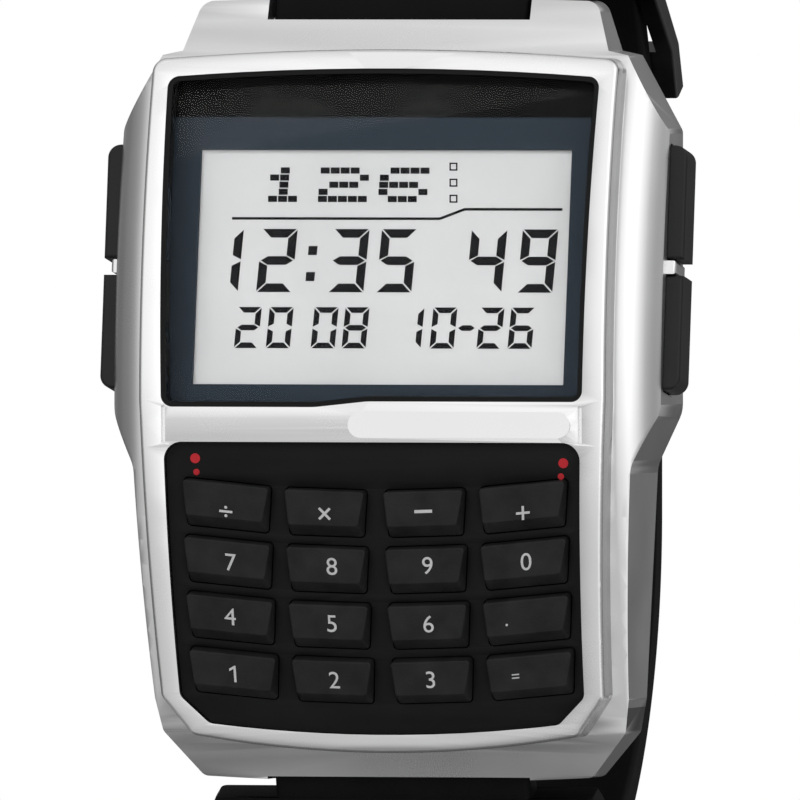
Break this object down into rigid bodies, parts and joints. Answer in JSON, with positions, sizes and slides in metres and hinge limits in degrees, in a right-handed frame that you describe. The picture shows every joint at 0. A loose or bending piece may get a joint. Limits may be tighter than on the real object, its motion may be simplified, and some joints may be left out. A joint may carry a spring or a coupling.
{
  "type": "calculator watch",
  "caption": "Wristwatch with a bowed front, a digital display, a raised keypad below it, side push buttons and a strap closed to a loop with buckle and keeper",
  "frame": {"origin": "centre of the case back's outer face", "axes": "+X to the right of the face as it is read, +Y out of the case back towards the wrist, +Z towards twelve o'clock"},
  "size_m": [0.0408, 0.0497, 0.0769],
  "materials": {
    "bright_steel": "polished",
    "window_glass": "clear",
    "seal_rubber": "matt",
    "case_plastic": "smooth bright metallic coat",
    "panel_black": "fine matt",
    "sheet_rubber": "matt",
    "film_plastic": "thin film",
    "frame_plastic": "moulded",
    "mask_print": "printed",
    "lcd_glass": "reflective display",
    "light_plastic": "translucent",
    "connector_rubber": "striped",
    "board_green": "laminate",
    "chip_black": "moulded",
    "plain_steel": "brushed",
    "cell_steel": "satin",
    "buzzer_brass": "satin",
    "strap_resin": "smooth matt",
    "buckle_dark": "dark plated",
    "key_plastic": "fine grained",
    "button_dark": "dark plated"
  },
  "bodies": {
    "case": {"case_body": "case_plastic", "bezel": "bright_steel", "window": "window_glass", "keypad_panel": "panel_black", "case_back": "plain_steel", "back_screws": "plain_steel", "spring_bar_upper": "plain_steel", "spring_bar_lower": "plain_steel", "strap_upper": "strap_resin", "strap_lower": "strap_resin", "buckle_pin": "plain_steel", "key_sheet": "sheet_rubber", "key_film": "film_plastic", "module_frame": "frame_plastic", "display_mask": "mask_print", "lcd_panel": "lcd_glass", "light_panel": "light_plastic", "lcd_connector": "connector_rubber", "circuit_board": "board_green", "processor_chip": "chip_black", "quartz_crystal": "plain_steel", "battery": "cell_steel", "battery_clip": "plain_steel", "buzzer": "buzzer_brass", "buzzer_spring": "plain_steel", "back_gasket": "seal_rubber", "button_seals": "seal_rubber", "window_seal": "seal_rubber", "button_spring_upper_right": "plain_steel", "button_spring_lower_right": "plain_steel", "button_spring_upper_left": "plain_steel", "button_spring_lower_left": "plain_steel"},
    "key_divide_body": {"key_divide": "key_plastic"},
    "key_multiply_body": {"key_multiply": "key_plastic"},
    "key_minus_body": {"key_minus": "key_plastic"},
    "key_plus_body": {"key_plus": "key_plastic"},
    "key_7_body": {"key_7": "key_plastic"},
    "key_8_body": {"key_8": "key_plastic"},
    "key_9_body": {"key_9": "key_plastic"},
    "key_0_body": {"key_0": "key_plastic"},
    "key_4_body": {"key_4": "key_plastic"},
    "key_5_body": {"key_5": "key_plastic"},
    "key_6_body": {"key_6": "key_plastic"},
    "key_point_body": {"key_point": "key_plastic"},
    "key_1_body": {"key_1": "key_plastic"},
    "key_2_body": {"key_2": "key_plastic"},
    "key_3_body": {"key_3": "key_plastic"},
    "key_equals_body": {"key_equals": "key_plastic"},
    "button_upper_right_body": {"button_upper_right": "button_dark", "stem_upper_right": "plain_steel"},
    "button_upper_left_body": {"button_upper_left": "button_dark", "stem_upper_left": "plain_steel"},
    "button_lower_right_body": {"button_lower_right": "button_dark", "stem_lower_right": "plain_steel"},
    "button_lower_left_body": {"button_lower_left": "button_dark", "stem_lower_left": "plain_steel"},
    "buckle": {"buckle_frame": "buckle_dark"},
    "prong": {"buckle_prong": "buckle_dark"},
    "keeper": {"strap_keeper": "strap_resin"}
  },
  "joints": [
    {"name": "key_divide_press", "type": "slide", "parent": "case", "child": "key_divide_body", "axis": [0, 0.9943, 0.1067], "range_m": [0, 0.0004], "stiffness_N_per_m": 1500, "springref_m": -0.0002},
    {"name": "key_multiply_press", "type": "slide", "parent": "case", "child": "key_multiply_body", "axis": [0, 0.9935, 0.1137], "range_m": [0, 0.0004], "stiffness_N_per_m": 1500, "springref_m": -0.0002},
    {"name": "key_minus_press", "type": "slide", "parent": "case", "child": "key_minus_body", "axis": [0, 0.9935, 0.1137], "range_m": [0, 0.0004], "stiffness_N_per_m": 1500, "springref_m": -0.0002},
    {"name": "key_plus_press", "type": "slide", "parent": "case", "child": "key_plus_body", "axis": [0, 0.9943, 0.1067], "range_m": [0, 0.0004], "stiffness_N_per_m": 1500, "springref_m": -0.0002},
    {"name": "key_7_press", "type": "slide", "parent": "case", "child": "key_7_body", "axis": [0, 0.9859, 0.1672], "range_m": [0, 0.0004], "stiffness_N_per_m": 1500, "springref_m": -0.0002},
    {"name": "key_8_press", "type": "slide", "parent": "case", "child": "key_8_body", "axis": [0, 0.9847, 0.1742], "range_m": [0, 0.0004], "stiffness_N_per_m": 1500, "springref_m": -0.0002},
    {"name": "key_9_press", "type": "slide", "parent": "case", "child": "key_9_body", "axis": [0, 0.9847, 0.1742], "range_m": [0, 0.0004], "stiffness_N_per_m": 1500, "springref_m": -0.0002},
    {"name": "key_0_press", "type": "slide", "parent": "case", "child": "key_0_body", "axis": [0, 0.9859, 0.1672], "range_m": [0, 0.0004], "stiffness_N_per_m": 1500, "springref_m": -0.0002},
    {"name": "key_4_press", "type": "slide", "parent": "case", "child": "key_4_body", "axis": [0, 0.9739, 0.227], "range_m": [0, 0.0004], "stiffness_N_per_m": 1500, "springref_m": -0.0002},
    {"name": "key_5_press", "type": "slide", "parent": "case", "child": "key_5_body", "axis": [0, 0.9722, 0.2339], "range_m": [0, 0.0004], "stiffness_N_per_m": 1500, "springref_m": -0.0002},
    {"name": "key_6_press", "type": "slide", "parent": "case", "child": "key_6_body", "axis": [0, 0.9722, 0.2339], "range_m": [0, 0.0004], "stiffness_N_per_m": 1500, "springref_m": -0.0002},
    {"name": "key_point_press", "type": "slide", "parent": "case", "child": "key_point_body", "axis": [0, 0.9739, 0.227], "range_m": [0, 0.0004], "stiffness_N_per_m": 1500, "springref_m": -0.0002},
    {"name": "key_1_press", "type": "slide", "parent": "case", "child": "key_1_body", "axis": [0, 0.9582, 0.2861], "range_m": [0, 0.0004], "stiffness_N_per_m": 1500, "springref_m": -0.0002},
    {"name": "key_2_press", "type": "slide", "parent": "case", "child": "key_2_body", "axis": [0, 0.9562, 0.2929], "range_m": [0, 0.0004], "stiffness_N_per_m": 1500, "springref_m": -0.0002},
    {"name": "key_3_press", "type": "slide", "parent": "case", "child": "key_3_body", "axis": [0, 0.9562, 0.2929], "range_m": [0, 0.0004], "stiffness_N_per_m": 1500, "springref_m": -0.0002},
    {"name": "key_equals_press", "type": "slide", "parent": "case", "child": "key_equals_body", "axis": [0, 0.9582, 0.2861], "range_m": [0, 0.0004], "stiffness_N_per_m": 1500, "springref_m": -0.0002},
    {"name": "button_upper_right_press", "type": "slide", "parent": "case", "child": "button_upper_right_body", "axis": [-1, 0, 0], "range_m": [0, 0.0006], "stiffness_N_per_m": 1200, "springref_m": -0.0003, "deforming": ["button_spring_upper_right"]},
    {"name": "button_upper_left_press", "type": "slide", "parent": "case", "child": "button_upper_left_body", "axis": [1, 0, 0], "range_m": [0, 0.0006], "stiffness_N_per_m": 1200, "springref_m": -0.0003, "deforming": ["button_spring_upper_left"]},
    {"name": "button_lower_right_press", "type": "slide", "parent": "case", "child": "button_lower_right_body", "axis": [-1, 0, 0], "range_m": [0, 0.0006], "stiffness_N_per_m": 1200, "springref_m": -0.0003, "deforming": ["button_spring_lower_right"]},
    {"name": "button_lower_left_press", "type": "slide", "parent": "case", "child": "button_lower_left_body", "axis": [1, 0, 0], "range_m": [0, 0.0006], "stiffness_N_per_m": 1200, "springref_m": -0.0003, "deforming": ["button_spring_lower_left"]},
    {"name": "buckle_hinge", "type": "hinge", "parent": "case", "child": "buckle", "pos_m": [0, 0.02497, 0.03038], "axis": [1, 0, 0], "range_deg": [0, 5]},
    {"name": "prong_hinge", "type": "hinge", "parent": "buckle", "child": "prong", "pos_m": [0, 0.02497, 0.03038], "axis": [1, 0, 0], "range_deg": [0, 8]},
    {"name": "keeper_slide", "type": "slide", "parent": "case", "child": "keeper", "axis": [0, -0.9703, 0.2419], "range_m": [-0.0008, 0.0008]}
  ]
}
